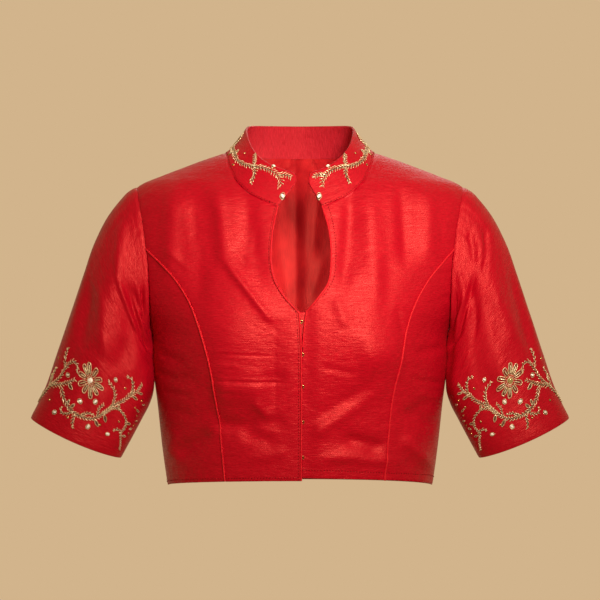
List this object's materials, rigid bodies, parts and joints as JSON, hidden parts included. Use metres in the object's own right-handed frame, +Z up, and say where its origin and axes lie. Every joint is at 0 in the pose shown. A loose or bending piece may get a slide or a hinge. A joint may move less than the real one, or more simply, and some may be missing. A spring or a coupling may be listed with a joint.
{
  "type": "choli blouse",
  "caption": "Short fitted blouse with half sleeves, princess seams, a keyhole neck, a stand collar and a hooked front.",
  "frame": {"origin": "midway between the two points where the neck seam meets the shoulder seams, which carry the blouse", "axes": "+Z up along the wearer, -Y the wearer's front, +X towards the wearer's left sleeve"},
  "size_m": [0.622, 0.2172, 0.4197],
  "materials": {
    "silk": "red raw silk with slubs and a soft sheen",
    "lining": "red satin lining",
    "piping": "cord covered with the same silk",
    "hooks": "bent brass wire"
  },
  "bodies": {
    "root": {"front_right": "silk", "front_left": "silk", "side_front_right": "silk", "side_front_left": "silk", "back": "silk", "back_lining": "lining", "collar": "silk", "collar_facing": "silk", "sleeve_right": "silk", "sleeve_left": "silk", "princess_piping_right": "piping", "princess_piping_left": "piping", "front_piping_right": "piping", "front_piping_left": "piping", "eye_placket": "silk", "hook_1": "hooks", "hook_2": "hooks", "hook_3": "hooks", "hook_4": "hooks", "hook_5": "hooks"}
  },
  "joints": []
}
